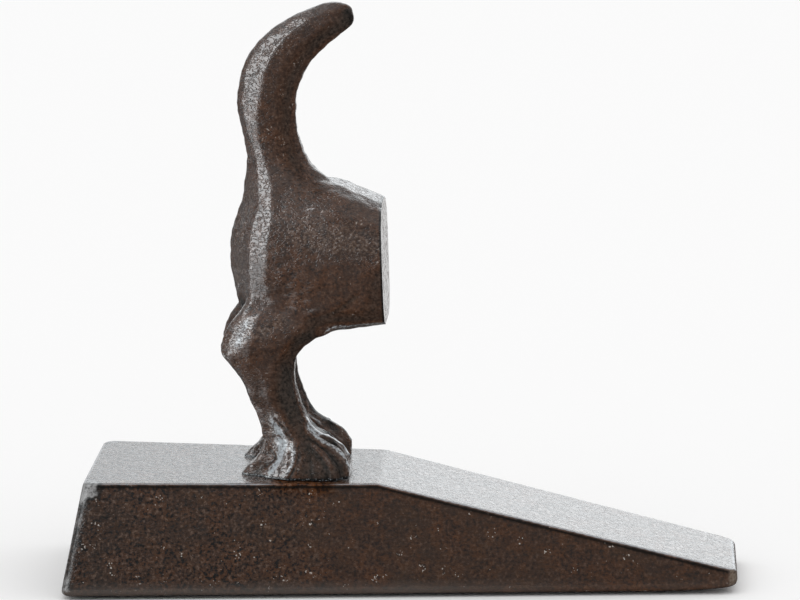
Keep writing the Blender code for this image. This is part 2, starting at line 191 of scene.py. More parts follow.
def ring(first, second, corners, middle, outward, inner_share):
    """The points of one ring round a limb, in millimetres.

    first and second are the two edges that the side view shows, as (forward, up). Each corner is (share of
    the way from first to second, distance outward from the middle), and the inner side has inner_share of
    that distance.
    """
    first, second = Vector(first), Vector(second)
    turns = [(first.lerp(second, share), middle + outward * out) for share, out in corners]
    for share, out in reversed(corners):
        turns.append((first.lerp(second, share), middle - outward * out * inner_share))
    points = []
    for (here, y_here), (there, y_there) in zip(turns, turns[1:] + turns[:1]):
        for step in range(EDGE_STEPS):
            share = step / EDGE_STEPS
            spot = here.lerp(there, share)
            points.append((spot.x, y_here + (y_there - y_here) * share, spot.y))
    return points


def between(values, share):
    """A smooth curve through rows of numbers, share of the way from the second row to the third of four."""
    before, first, second, after = values
    slope = (second - before) / 2
    next_slope = (after - first) / 2
    rise = second - first
    square = (3 * rise - 2 * slope - next_slope) * share**2
    return first + slope * share + square + (slope + next_slope - 2 * rise) * share**3


def limb(shape, rows, middle=0.0, outward=-1, inner_share=1.0, back=0.0, crest=1.0):
    """Adds to a bmesh a closed skin over rows of (first edge, second edge, corners), all in millimetres.

    back moves it backward, and crest is the share that is left of the last corner's distance outward.
    """
    table = np.array([[*first, *second, *np.ravel(corners)] for first, second, corners in rows])
    table = np.vstack([2 * table[0] - table[1], table, 2 * table[-1] - table[-2]])
    smooth = []
    for index in range(len(rows) - 1):
        for step in range(RINGS_BETWEEN):
            smooth.append(between(table[index : index + 4], step / RINGS_BETWEEN))
    smooth.append(table[-2])
    sections = []
    for row in smooth:
        corners = [tuple(pair) for pair in row[4:].reshape(-1, 2)]
        corners[-1] = (corners[-1][0], corners[-1][1] * crest)
        points = ring(row[0:2], row[2:4], corners, middle, outward, inner_share)
        sections.append([shape.verts.new(Vector((x - back, y, z)) * MM) for x, y, z in points])
    for here, there in zip(sections, sections[1:]):
        for index in range(len(here)):
            after = (index + 1) % len(here)
            shape.faces.new((here[index], here[after], there[after], there[index]))
    shape.faces.new(sections[0][::-1])
    shape.faces.new(sections[-1])


# From the tail's tip, over its curl and down the back of the rump. The first edge is the outer one.
TAIL_AND_RUMP = [
    ((12.8, 106.5), (13.3, 104.3), ((0, 0.3), (0.2, 0.8), (0.4, 1.2), (0.7, 1.2), (1, 0.5))),
    ((11.0, 107.8), (12.7, 102.8), ((0, 0.9), (0.08, 1.6), (0.25, 2.5), (0.6, 2.6), (1, 1.0))),
    ((6.9, 107.8), (10.0, 100.6), ((0, 1.0), (0.06, 2.0), (0.2, 3.3), (0.58, 3.8), (1, 1.6))),
    ((1.3, 105.8), (6.6, 97.8), ((0, 0.9), (0.05, 2.4), (0.22, 4.4), (0.58, 4.9), (1, 1.2))),
    ((-3.9, 103.0), (3.4, 94.4), ((0, 0.8), (0.06, 2.5), (0.29, 5.2), (0.6, 5.5), (1, 1.2))),
    ((-8.5, 99.2), (1.6, 91.2), ((0, 0.7), (0.06, 2.4), (0.33, 5.8), (0.62, 6.0), (1, 1.2))),
    ((-11.8, 94.5), (0.3, 88.2), ((0, 0.7), (0.07, 2.5), (0.4, 6.2), (0.68, 6.2), (1, 1.3))),
    ((-13.4, 88.9), (-0.1, 85.6), ((0, 0.8), (0.08, 2.7), (0.4, 6.3), (0.7, 6.3), (1, 1.3))),
    ((-13.8, 84.2), (-0.2, 82.8), ((0, 1.1), (0.1, 3.5), (0.37, 6.3), (0.7, 6.3), (1, 1.4))),
    ((-13.2, 80.5), (-0.1, 79.6), ((0, 1.2), (0.12, 4.2), (0.33, 6.3), (0.68, 6.3), (1, 1.4))),
    ((-12.3, 76.6), (0.6, 76.4), ((0, 1.1), (0.15, 4.8), (0.31, 6.3), (0.62, 6.3), (1, 1.5))),
    ((-11.6, 72.7), (2.1, 72.7), ((0, 1.0), (0.17, 5.4), (0.32, 7.0), (0.58, 6.9), (1, 1.6))),
    ((-11.7, 69.5), (4.3, 69.5), ((0, 0.9), (0.17, 6.4), (0.34, 8.4), (0.6, 8.2), (1, 1.8))),
    ((-12.1, 66.6), (8.4, 66.4), ((0, 0.9), (0.17, 7.9), (0.33, 10.1), (0.6, 9.8), (1, 2.0))),
    ((-12.6, 63.0), (12.0, 63.0), ((0, 1.0), (0.17, 9.4), (0.3, 11.7), (0.7, 12.4), (1, 10))),
    ((-13.6, 59.6), (12.0, 59.6), ((0, 1.2), (0.178, 10.7), (0.324, 13.5), (0.7, 14.8), (1, 13))),
    ((-14.9, 55.8), (12.0, 55.8), ((0, 1.6), (0.177, 11.4), (0.343, 14.8), (0.75, 15.9), (1, 14.5))),
    ((-15.4, 51.5), (12.0, 51.5), ((0, 2.0), (0.183, 12.0), (0.342, 15.3), (0.75, 16.2), (1, 15))),
    ((-15.3, 47.0), (12.0, 47.0), ((0, 2.0), (0.18, 12.0), (0.307, 14.9), (0.75, 16.1), (1, 15))),
    ((-14.6, 43.1), (11.0, 43.1), ((0, 2.2), (0.175, 11.6), (0.33, 14.2), (0.75, 15.8), (1, 15))),
    ((-13.8, 39.7), (10.0, 39.7), ((0, 2.4), (0.16, 11.0), (0.36, 13.6), (0.75, 15.6), (1, 14))),
    ((-13.0, 36.0), (9.0, 36.0), ((0, 2.2), (0.16, 10.4), (0.36, 12.8), (0.75, 15.0), (1, 13))),
    ((-12.0, 33.5), (8.0, 33.5), ((0, 1.5), (0.16, 9.0), (0.36, 11.0), (0.75, 13.0), (1, 11))),
]

# From inside the rump to past the cut face. The first edge is the belly, the second the back.
FLANK = ((0, 8.5), (0.05, 13.2), (0.17, 15.9), (0.35, 16.6), (0.68, 16.6), (0.85, 15.1), (0.955, 11), (1, 6))
BODY = [
    (
        (-4.0, 33.8),
        (-4.0, 64.0),
        ((0, 7), (0.05, 11), (0.2, 13.4), (0.35, 14), (0.7, 14), (0.85, 12), (0.95, 8), (1, 4)),
    ),
    (
        (1.0, 32.6),
        (1.0, 66.0),
        ((0, 8), (0.05, 12), (0.18, 15), (0.35, 15.6), (0.7, 15.2), (0.85, 13.4), (0.95, 9), (1, 4)),
    ),
    (
        (6.0, 32.2),
        (6.0, 66.9),
        ((0, 8.5), (0.05, 13), (0.17, 15.8), (0.35, 16.4), (0.7, 16.2), (0.86, 14), (0.95, 10), (1, 5)),
    ),
    ((10.0, 32.8), (10.0, 66.2), FLANK),
    ((14.0, 33.4), (14.0, 64.7), FLANK),
    ((19.0, 34.1), (19.0, 62.6), FLANK),
    ((24.0, 34.8), (24.0, 60.4), FLANK),
]

# From inside the rump down to below the sole. The first edge is the back of the leg.
LEG = [
    ((-9.0, 46.0), (8.0, 46.0), ((0, 1.0), (0.15, 2.0), (0.35, 2.4), (0.8, 2.6), (1, 1.5))),
    ((-10.6, 41.5), (9.5, 41.5), ((0, 0.5), (0.06, 1.6), (0.28, 2.6), (0.8, 3.4), (1, 2.0))),
    ((-12.3, 38.3), (9.5, 38.0), ((0, 0.8), (0.06, 3.2), (0.28, 4.2), (0.78, 4.6), (1, 3.0))),
    ((-14.9, 34.8), (8.2, 33.0), ((0, 0.5), (0.06, 2.8), (0.24, 5.9), (0.7, 5.9), (1, 2.4))),
    ((-16.3, 32.0), (4.2, 31.0), ((0, 0.5), (0.08, 3.2), (0.33, 7.0), (0.75, 6.0), (1, 1.8))),
    ((-17.1, 29.3), (1.7, 28.8), ((0, 0.6), (0.1, 3.4), (0.36, 7.0), (0.78, 5.6), (1, 1.6))),
    ((-16.6, 27.0), (0.2, 26.6), ((0, 1.0), (0.08, 4.2), (0.38, 6.2), (0.8, 5.2), (1, 1.5))),
    ((-13.8, 23.8), (0.0, 23.6), ((0, 1.2), (0.08, 3.8), (0.5, 6.3), (0.85, 4.8), (1, 1.5))),
    ((-11.9, 21.0), (0.2, 21.0), ((0, 1.2), (0.08, 3.6), (0.48, 6.1), (0.86, 4.6), (1, 1.5))),
    ((-10.8, 18.0), (1.0, 18.0), ((0, 1.2), (0.08, 3.5), (0.44, 6.0), (0.86, 4.6), (1, 1.5))),
    ((-9.2, 14.7), (2.2, 14.7), ((0, 2.4), (0.3, 4.4), (0.47, 5.8), (0.84, 4.7), (1, 1.5))),
    ((-7.9, 11.6), (3.8, 11.6), ((0, 2.8), (0.2, 3.7), (0.51, 6.3), (0.82, 5.2), (1, 1.6))),
    ((-7.6, 9.6), (6.0, 9.7), ((0, 2.6), (0.2, 3.6), (0.52, 6.8), (0.8, 5.9), (1, 1.8))),
    ((-7.3, 7.8), (8.9, 7.8), ((0, 2.3), (0.17, 3.6), (0.45, 7.1), (0.74, 6.7), (1, 2.2))),
    ((-7.7, 5.3), (11.5, 5.3), ((0, 1.7), (0.14, 3.1), (0.41, 7.5), (0.8, 7.3), (1, 3.2))),
    ((-8.9, 3.5), (12.4, 3.5), ((0, 1.5), (0.12, 2.7), (0.41, 7.6), (0.84, 7.6), (1, 3.8))),
    ((-10.7, 1.9), (12.8, 1.9), ((0, 1.6), (0.18, 3.6), (0.41, 7.7), (0.86, 7.8), (1, 4.2))),
    ((-11.6, 0.9), (12.9, 0.9), ((0, 1.8), (0.2, 4.0), (0.42, 7.6), (0.86, 7.8), (1, 4.4))),
    ((-12.3, 0.2), (12.9, 0.2), ((0, 2.0), (0.22, 4.4), (0.45, 7.6), (0.87, 7.8), (1, 4.4))),
    ((-12.6, -1.0), (12.7, -1.0), ((0, 2.0), (0.22, 4.4), (0.45, 7.6), (0.87, 7.8), (1, 4.4))),
    ((-12.6, -3.0), (12.3, -3.0), ((0, 2.0), (0.22, 4.4), (0.45, 7.6), (0.87, 7.8), (1, 4.4))),
]


# Where limbs run into each other, on both sides: the point, the radius and the rounds of smoothing
MELTED = [
    ((5.0, 15.5, 38.0), 10.0, 40),
    ((7.0, 10.0, 32.0), 7.0, 30),
    ((4.0, 0.0, 67.0), 9.0, 40),
    ((-11.5, 11.5, 38.5), 5.5, 30),
    ((-8.0, 12.0, 4.0), 5.5, 16),
]

# The uneven skin: how long, wide and high its waves are, and how far they stand out
RIPPLE_SIZE = (2.6, 2.6, 1.5)
RIPPLE_HEIGHT = 0.2

# How far the outer side of the right (-1) and of the left paw spreads at the sole. The spread starts this far
# up, and grows to its whole over this width, from so far inside the middle of the paw.
PAW_SPREAD = {-1: 3.2, 1: 1.0}
SPREAD_HEIGHT = 9.0
SPREAD_WIDTH = 10
SPREAD_INSIDE = 4

# Marks on the dog's left side, mirrored to its right: the path, then the stroke's reach and height, and the
# wear and painted light along it, from -1 for soot-black painted shade over 0 for whole lacquer to 1 and more
# for bright painted highlights. A later stroke lies over the earlier ones.
BODY_STROKES = [
    # Painted shade on the inner side of the tail's curl, and a darker tip
    (
        ((11.3, 2.5, 103.7), (6.0, 3.2, 100.0), (1.0, 3.8, 95.0), (-1.4, 4.2, 89.2), (-2.2, 4.6, 83.0)),
        (2.6, 0, -0.5),
    ),
    (
        ((-2.2, 4.6, 83.0), (-2.0, 4.6, 78.0), (-0.9, 5.0, 72.4), (2.0, 7.0, 70.0), (6.0, 8.5, 67.0)),
        (2.7, 0, -0.42),
    ),
    (((12.0, 2.0, 105.7), (12.6, 1.2, 103.8)), (1.4, 0, -0.8)),
    # Matt side of the tail
    (
        ((0.5, 5.8, 97.5), (-3.5, 6.3, 92.0), (-5.3, 6.3, 86.0), (-5.0, 6.3, 80.0), (-3.6, 6.5, 75.0)),
        (3.0, 0, -0.19),
    ),
    # Dark flank by the cut, matt haunch over the leg, gritty band above it and a dent below it darkened with
    # painted shade
    (((19.5, 16.6, 47.1), (19.0, 16.5, 43.6), (18.3, 15.6, 39.5)), (2.6, 0, -0.35)),
    (((-2.3, 15.2, 42.5), (2.7, 15.6, 43.0), (5.2, 16.3, 43.9)), (4.0, 0, -0.2)),
    (((1.6, 15.9, 56.0), (8.5, 16.2, 55.3), (15.8, 16.4, 54.2), (19.4, 16.4, 53.8)), (3.8, 0, 0.18)),
    (
        ((14.4, 16.3, 41.9), (12.1, 16.1, 40.0), (9.8, 15.7, 38.3), (6.5, 15.0, 36.8), (3.3, 15.1, 36.1)),
        (0.8, -0.2, -0.4),
    ),
    # Painted shade under the belly, with a pale rim of painted floor reflection, which runs on down the front
    # of the thigh
    (
        (
            (20.2, 13.5, 36.2), (12.9, 14.2, 36.3), (9.5, 14.3, 35.8),
            (6.5, 13.9, 34.6), (4.2, 14.1, 32.7), (1.5, 14.6, 31.0),
        ),
        (2.6, 0, -0.5),
    ),
    (((20.0, 12.2, 34.8), (12.7, 12.4, 34.1), (9.3, 13.0, 34.0), (6.4, 13.2, 33.0)), (1.5, 0, 0.7)),
    (((6.4, 13.2, 33.0), (4.0, 12.8, 31.3), (1.5, 12.0, 28.8)), (1.1, 0, 0.6)),
    # Scuffed rear of the rump
    (((-12.2, 6.5, 65.0), (-13.9, 7.5, 56.0), (-14.6, 8.0, 50.0), (-13.9, 7.5, 43.0)), (3.4, 0, 0.28)),
    # Painted shade on the inner sides of the legs, with a scuffed heel and a dark inner hock
    (
        ((-4.0, 4.0, 30.0), (-2.0, 4.5, 22.0), (0.0, 4.5, 14.0), (5.0, 4.0, 8.0), (10.0, 4.0, 4.0)),
        (5.0, 0, -0.6),
    ),
    (((-7.0, 5.5, 6.0), (-10.0, 6.5, 2.5)), (3.0, 0, 0.3)),
    (((-12.0, 5.0, 38.0), (-15.5, 5.0, 33.0), (-16.5, 5.5, 29.0)), (2.5, 0, -0.9)),
]

# How much of a leg's rubbed wear and painted highlights show: right (-1) or left leg, and on its inner (-1)
# or its outer side
WEAR_AND_HIGHLIGHT_SHARES = {(-1, -1): 0.2, (-1, 1): 1.0, (1, -1): 0.2, (1, 1): 0.65}

# Marks on the outer side of the left leg, in the same way, mirrored to its inner side and to the right leg
LEG_STROKES = [
    # Darker down the front of the leg and on the paw, matt and darker back of the leg and heel
    (((3.5, 15.5, 30.0), (-1.0, 15.5, 25.0), (-2.0, 15.3, 19.0), (-0.6, 15.2, 13.5)), (3.1, 0, -0.6)),
    (
        ((4.5, 13.5, 31.0), (0.8, 13.5, 26.0), (-0.2, 13.5, 22.0), (0.6, 13.5, 18.0), (2.0, 13.5, 14.5)),
        (2.8, 0, -0.6),
    ),
    (((1.5, 14.5, 11.5), (4.0, 16.6, 6.0), (9.0, 17.0, 4.0), (11.5, 16.0, 2.0)), (3.0, 0, -0.5)),
    (((2.0, 17.3, 2.0), (8.0, 17.6, 1.0)), (2.2, 0, -0.5)),
    (((-9.6, 15.4, 24.2), (-8.7, 14.8, 21.1), (-7.4, 14.8, 17.0)), (2.8, 0, -0.24)),
    (((-6.9, 12.9, 6.4), (-7.2, 13.0, 4.1), (-8.8, 13.0, 1.9)), (2.6, 0, -0.3)),
    (((-5.8, 14.0, 2.2), (-7.6, 13.8, 0.8)), (1.7, 0, -0.6)),
    # Rubbed hock, painted pale with the reflection it shows, and grit that spreads upward from it
    (((-10.0, 15.9, 32.4), (-8.5, 16.1, 33.1)), (1.2, 0, 0.5)),
    (((-11.0, 14.1, 35.0), (-11.7, 14.4, 33.4), (-12.4, 14.7, 31.5), (-12.9, 15.0, 30.6)), (1.9, 0, 0.6)),
    (((-9.5, 16.2, 32.6), (-7.2, 15.9, 33.6), (-5.0, 15.4, 34.8), (-2.4, 15.0, 36.4)), (1.4, 0, 0.16)),
    (((-10.4, 16.6, 31.4), (-11.0, 16.4, 29.7), (-12.2, 15.6, 28.2), (-13.6, 14.8, 27.2)), (1.3, 0, -0.3)),
    # Patch on the ankle, rubbed and painted pale with its reflection, then its edges, cracks and pits,
    # darkened with painted shade
    (((-4.4, 14.6, 12.7), (-3.4, 15.0, 9.9), (-2.8, 15.2, 7.6)), (2.0, 0, 0.82)),
    (((-2.8, 15.2, 7.6), (-3.2, 14.8, 4.9), (-4.2, 14.8, 3.0), (-5.0, 14.8, 1.4)), (1.7, 0, 0.82)),
    (((-0.4, 16.6, 7.5), (0.2, 17.2, 5.8), (0.0, 17.4, 3.6), (-0.9, 17.4, 1.5)), (1.1, 0, 0.64)),
    (
        ((-4.3, 14.9, 13.1), (-3.2, 15.5, 12.0), (-2.1, 15.9, 10.9), (-1.4, 16.1, 9.4), (-0.3, 16.5, 8.4)),
        (0.4, -0.3, -0.7),
    ),
    (
        ((1.2, 16.9, 7.0), (1.3, 17.2, 5.6), (0.8, 17.4, 3.4), (0.0, 17.6, 1.8), (-0.8, 17.5, 0.4)),
        (0.4, -0.4, -0.9),
    ),
    (((-4.4, 13.9, 9.4), (-3.1, 14.8, 9.0), (-1.7, 15.8, 8.8)), (0.18, -0.2, 0.0)),
    (((-1.2, 16.4, 5.6), (-1.3, 16.5, 4.7)), (0.3, -0.35, -0.8)),
    (((-3.2, 15.6, 2.4), (-3.5, 15.9, 1.7)), (0.28, -0.3, -0.8)),
    (((-1.3, 16.9, 3.1), (-1.0, 16.7, 3.8)), (0.28, -0.3, -0.8)),
    (
        ((-5.5, 12.9, 5.7), (-4.6, 13.6, 4.8), (-4.4, 14.0, 4.1), (-5.3, 13.6, 3.3), (-6.1, 13.4, 2.6)),
        (0.5, -0.3, -0.6),
    ),
    # Pale ridge down the heel
    (((-6.8, 12.5, 7.4), (-7.5, 11.9, 5.5), (-8.5, 11.6, 3.7), (-10.0, 11.8, 2.1)), (0.32, 0.3, 0.55)),
    # Painted shade in the grooves between the toes, and a painted highlight on one toe's ridge
    (
        (
            (3.8, 16.0, 9.0), (5.4, 15.8, 7.9), (7.1, 15.9, 6.6),
            (8.6, 16.2, 5.4), (10.1, 16.1, 3.9), (11.5, 15.9, -1),
        ),
        (0.5, -0.5, -0.85),
    ),
    (
        ((4.6, 16.8, 7.5), (5.8, 17.0, 6.6), (7.2, 17.2, 5.4), (8.1, 17.4, 4.2), (8.9, 17.4, 2.7)),
        (0.35, 0.1, 0.35),
    ),
    (
        ((3.6, 16.8, 7.2), (5.2, 16.9, 5.8), (6.6, 17.1, 4.2), (7.7, 17.5, 2.7), (8.4, 17.8, -1)),
        (0.5, -0.3, -0.8),
    ),
    (((2.4, 16.9, 6.6), (3.4, 17.0, 5.2), (4.1, 17.5, 3.7), (4.5, 17.8, -1)), (0.5, -0.2, -0.6)),
    # Crest of the paw: painted shade behind it, a pale band of painted reflection, and painted shade in the
    # groove over the band
    (
        ((3.5, 10.0, 12.0), (4.8, 10.0, 10.8), (6.2, 9.2, 9.6), (8.0, 8.5, 8.4), (9.5, 7.8, 7.2)),
        (1.1, 0, -0.8),
    ),
    (
        (
            (3.3, 14.6, 10.6), (4.9, 14.7, 9.3), (6.4, 14.6, 8.2),
            (8.0, 14.3, 7.1), (9.6, 14.0, 6.0), (11.0, 14.0, 4.6),
        ),
        (0.85, 0.3, 0.75),
    ),
    (((11.0, 14.0, 4.6), (12.0, 14.1, 3.3), (12.5, 14.3, 1.9)), (0.7, 0.3, 0.7)),
    (
        ((6.2, 13.5, 9.1), (7.9, 13.1, 8.0), (9.2, 12.9, 7.2), (10.7, 12.9, 6.0)),
        (0.35, -0.5, -1.0),
    ),
    # Painted reflection above the band, painted highlight on the crest of the shin, painted shade in the
    # groove's end and the bright painted highlight line on the crest
    (((3.2, 13.4, 11.6), (4.4, 13.7, 10.3), (5.6, 13.6, 9.4)), (0.8, 0, 0.8)),
    (((0.6, 12.2, 22.0), (0.9, 12.2, 18.0), (1.9, 12.2, 15.0), (2.8, 12.0, 12.9)), (0.7, 0, 0.5)),
    (((10.7, 12.9, 6.0), (11.7, 13.2, 4.7), (12.4, 13.4, 3.3)), (0.35, -0.5, -1.0)),
    (
        ((2.8, 12.0, 12.9), (3.8, 12.4, 11.6), (4.9, 12.6, 10.4), (6.3, 12.3, 9.4), (7.6, 11.6, 8.7)),
        (0.5, 0.3, 1.3),
    ),
    (
        ((7.6, 11.6, 8.7), (9.3, 10.6, 7.5), (10.8, 9.9, 6.2), (11.7, 10.3, 4.9), (12.3, 10.0, 3.9)),
        (0.5, 0.3, 1.3),
    ),
    (((12.3, 10.0, 3.9), (12.7, 9.6, 2.5)), (0.45, 0.2, 1.0)),
]


# A stroke is felt within so many reaches of its path
FELT_REACHES = 3


def stroke(spots, facing, wear_and_light, path, reach, height, worn_and_lit):
    """Raises the skin along a path by a height and sets its wear and painted light, both fading over the
    reach.

    spots and facing are every vertex's place and normal, and the third argument its wear and painted light.
    Millimetres.
    """
    low, high = path.min(0) - FELT_REACHES * reach, path.max(0) + FELT_REACHES * reach
    near = np.flatnonzero(((spots > low) & (spots < high)).all(1))
    nearest = np.full(len(near), np.inf)
    for start, end in zip(path, path[1:]):
        along = end - start
        share = np.clip((spots[near] - start) @ along / (along @ along), 0, 1)
        away = spots[near] - start - share[:, None] * along
        nearest = np.minimum(nearest, np.linalg.norm(away, axis=1))
    fade = np.exp(-((nearest / reach) ** 2))
    spots[near] += facing[near] * (height * fade)[:, None]
    wear_and_light[near] += (worn_and_lit - wear_and_light[near]) * fade


def ripple(spots, facing):
    """Sand-cast unevenness: shallow waves longer than they are high. Millimetres."""
    swell = np.array([noise.noise(Vector(spot)) for spot in spots / np.array(RIPPLE_SIZE)])
    spots += facing * (RIPPLE_HEIGHT * swell)[:, None]


def spread_paws(spots, foot, half_stance):
    """Spreads the outer side of each paw towards the sole, where its toes splay. Millimetres."""
    down = np.clip((SPREAD_HEIGHT - (spots[:, 2] - foot[2])) / SPREAD_HEIGHT, 0, 1)
    for side, spread in PAW_SPREAD.items():
        out = np.clip((side * spots[:, 1] - half_stance + SPREAD_INSIDE) / SPREAD_WIDTH, 0, 1)
        spots[:, 1] += side * spread * out * down**2 * (3 - 2 * down)


def carve(obj):
    """Gives the dog its uneven skin and its strokes, with their wear and painted light as an attribute, and
    splays its paws.
    """
    foot = np.array(SOLE_POINT) / MM
    half_stance = STANCE / 2 / MM
    spots = per_vertex(obj.data, "co") / MM
    facing = per_vertex(obj.data, "normal")
    wear_and_light = np.zeros(len(spots))
    ripple(spots, facing)
    for side in (-1, 1):
        for path, marks in BODY_STROKES:
            moved = np.array([(x, side * y, z) for x, y, z in path]) + foot
            stroke(spots, facing, wear_and_light, moved, *marks)
    for (side, outer), share in WEAR_AND_HIGHLIGHT_SHARES.items():
        back = LEFT_LEG_BACK if side > 0 else 0.0
        for path, (reach, height, worn_and_lit) in LEG_STROKES:
            moved = [(x - back, side * (half_stance + outer * (y - half_stance)), z) for x, y, z in path]
            shown = worn_and_lit * share if worn_and_lit > 0 else worn_and_lit
            stroke(spots, facing, wear_and_light, np.array(moved) + foot, reach, height, shown)
    spread_paws(spots, foot, half_stance)
    place_all(obj.data, spots * MM)
    obj.data.attributes.new("wear_and_light", "FLOAT", "POINT").data.foreach_set("value", wear_and_light)


def melt(obj, middle, radius, rounds):
    """Smooths the skin round a point, less so towards the radius. Millimetres."""
    spots = (per_vertex(obj.data, "co") - np.array(SOLE_POINT)) / MM
    share = 1 - np.linalg.norm(spots - np.array(middle), axis=1) / radius
    group = obj.vertex_groups.new(name="melt")
    for level in range(1, MELT_LEVELS + 1):
        chosen = np.flatnonzero((share > (level - 1) / MELT_LEVELS) & (share <= level / MELT_LEVELS))
        group.add(chosen.tolist(), level / MELT_LEVELS, "REPLACE")
    soften = obj.modifiers.new("melt", "SMOOTH")
    soften.iterations = rounds
    soften.vertex_group = group.name
    applied(obj)
    obj.vertex_groups.clear()


def dog():
    shape = bmesh.new()
    limb(shape, TAIL_AND_RUMP)
    limb(shape, BODY)
    for side in (-1, 1):
        back, crest = (LEFT_LEG_BACK, LEFT_CREST) if side > 0 else (0.0, 1.0)
        limb(shape, LEG, side * STANCE / 2 / MM, side, INNER_SHARE, back, crest)
    bmesh.ops.translate(shape, verts=shape.verts, vec=SOLE_POINT)
    bmesh.ops.recalc_face_normals(shape, faces=shape.faces)
    mesh = bpy.data.meshes.new("dog")
    shape.to_mesh(mesh)
    shape.free()
    obj = one_skin(new_object("dog", mesh), DOG_CELL, DOG_SOFTENING)
    for (forward, left, up), radius, rounds in MELTED:
        for side in {left, -left}:
            melt(obj, (forward, side, up), radius, rounds)
    carve(obj)
    cut_flat(obj, SOLE_POINT, SOLE_NORMAL)
    cut_flat(obj, CUT_POINT, CUT_NORMAL)
    obj.data.set_sharp_from_angle(angle=SHARP_ANGLE)
    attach(obj, "root")
    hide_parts("dog_figure")
    return obj


def wedge():
    mesh = frame["nodes"]["wedge_base"].data.copy()
    shape = bmesh.new()
    shape.from_mesh(mesh)
    bmesh.ops.remove_doubles(shape, verts=shape.verts, dist=SAME_PLACE)
    shape.to_mesh(mesh)
    shape.free()
    obj = one_skin(new_object("wedge", mesh), WEDGE_CELL, WEDGE_SOFTENING)
    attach(obj, "root")
    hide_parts("wedge_base")
    return obj


# Materials


class Nodes:
    """Short calls for building a material's or the world's nodes."""

    def __init__(self, owner):
        owner.use_nodes = True
        self.tree = owner.node_tree
        self.tree.nodes.clear()

    def add(self, kind, inputs=None, **settings):
        made = self.tree.nodes.new(kind)
        for name, value in settings.items():
            setattr(made, name, value)
        for name, value in (inputs or {}).items():
            self.put(made.inputs[name], value)
        return made

    def put(self, socket, value):
        if isinstance(value, bpy.types.NodeSocket):
            self.tree.links.new(value, socket)
        else:
            socket.default_value = value

    def show(self, shader, output="ShaderNodeOutputMaterial"):
        """Ends the nodes with a shader."""
        self.add(output, {"Surface": shader.outputs[0]})

    def place(self):
        """Where a point of the object is, in the frame's metres."""
        return self.add("ShaderNodeTexCoord").outputs["Object"]

    def facing(self):
        """The way a point of the surface faces, as forward, left and up."""
        return self.split(self.add("ShaderNodeNewGeometry").outputs["Normal"])

    def split(self, vector):
        parts = self.add("ShaderNodeSeparateXYZ", {"Vector": vector})
        return [parts.outputs[axis] for axis in "XYZ"]

    def math(self, operation, *values, clamp=False):
        made = self.add("ShaderNodeMath", operation=operation, use_clamp=clamp)
        for socket, value in zip(made.inputs, values):
            self.put(socket, value)
        return made.outputs[0]

    def product(self, first, *others):
        for other in others:
            first = self.math("MULTIPLY", first, other)
        return first

    def most(self, first, *others):
        for other in others:
            first = self.math("MAXIMUM", first, other)
        return first

    def rest(self, value):
        """What is missing from a value to 1."""
        return self.math("SUBTRACT", 1.0, value)

    def vector(self, operation, first, second=None, output="Vector"):
        made = self.add("ShaderNodeVectorMath", {0: first}, operation=operation)
        if second is not None:
            self.put(made.inputs[1], second)
        return made.outputs[output]

    def scaled(self, vector, scale, location=(0, 0, 0)):
        made = self.add("ShaderNodeMapping", {"Vector": vector, "Location": location, "Scale": scale})
        return made.outputs["Vector"]

    def noise(self, where, size, detail=2.0, roughness=0.5):
        """Noise with features of about the given size in metres, from 0 to 1."""
        made = self.add(
            "ShaderNodeTexNoise",
            {"Vector": where, "Scale": 1 / size, "Detail": detail, "Roughness": roughness},
        )
        return made.outputs["Fac"]

    def span(self, value, low, high, to_low=0.0, to_high=1.0):
        """Maps low to high onto to_low to to_high, held at either end."""
        made = self.add(
            "ShaderNodeMapRange",
            {"Value": value, "From Min": low, "From Max": high, "To Min": to_low, "To Max": to_high},
        )
        return made.outputs["Result"]

    def band(self, value, rises, falls):
        """1 from where a value has risen to where it falls again, 0 before and after."""
        return self.product(self.span(value, *rises), self.span(value, *falls))

    def blend(self, share, first, second):
        made = self.add("ShaderNodeMix", data_type="RGBA")
        factor, first_colour, second_colour = made.inputs["Factor"], made.inputs[6], made.inputs[7]
        self.put(factor, share)
        self.put(first_colour, first)
        self.put(second_colour, second)
        return made.outputs[2]

    def layered(self, tone, *layers):
        """A colour with others laid over it, each (share, colour)."""
        for share, over in layers:
            tone = self.blend(share, tone, over)
        return tone


def colour(red, green, blue):
    """A colour given as it shows on a screen, 0 to 255, turned into the linear numbers that shaders take."""
    shown = (red, green, blue)
    return tuple(((c / 255 + 0.055) / 1.055) ** 2.4 if c > 10 else c / 255 / 12.92 for c in shown) + (1,)


# The lacquer's browns, and the colours of what lies in it or on it
DOG_BROWNS = (colour(88, 53, 29), colour(78, 52, 37))
WEDGE_BROWNS = (colour(88, 50, 20), colour(76, 48, 27))
MOTTLED = colour(56, 40, 32)
DULL = colour(38, 33, 30)
PIT = colour(14, 11, 9)
PALE_GRAIN = colour(124, 102, 88)
GLINT_SPECK = colour(196, 188, 180)

# The colours of the dog's wear and painted light and shade, then those of the wedge's
# Rubbed iron that is also a painted reflection, a painted highlight, grime that is also painted shade,
# scuffs, and a soot black that is mostly painted shade
RUBBED_AND_SHEEN = colour(172, 179, 184)
PAINTED_HIGHLIGHT = colour(248, 250, 252)
GRIME_AND_SHADE = colour(63, 54, 48)
DARK_GRIME_AND_SHADE = colour(31, 26, 22)
SCUFFED = colour(114, 98, 86)
SOOT_AND_SHADE = colour(13, 12, 11)
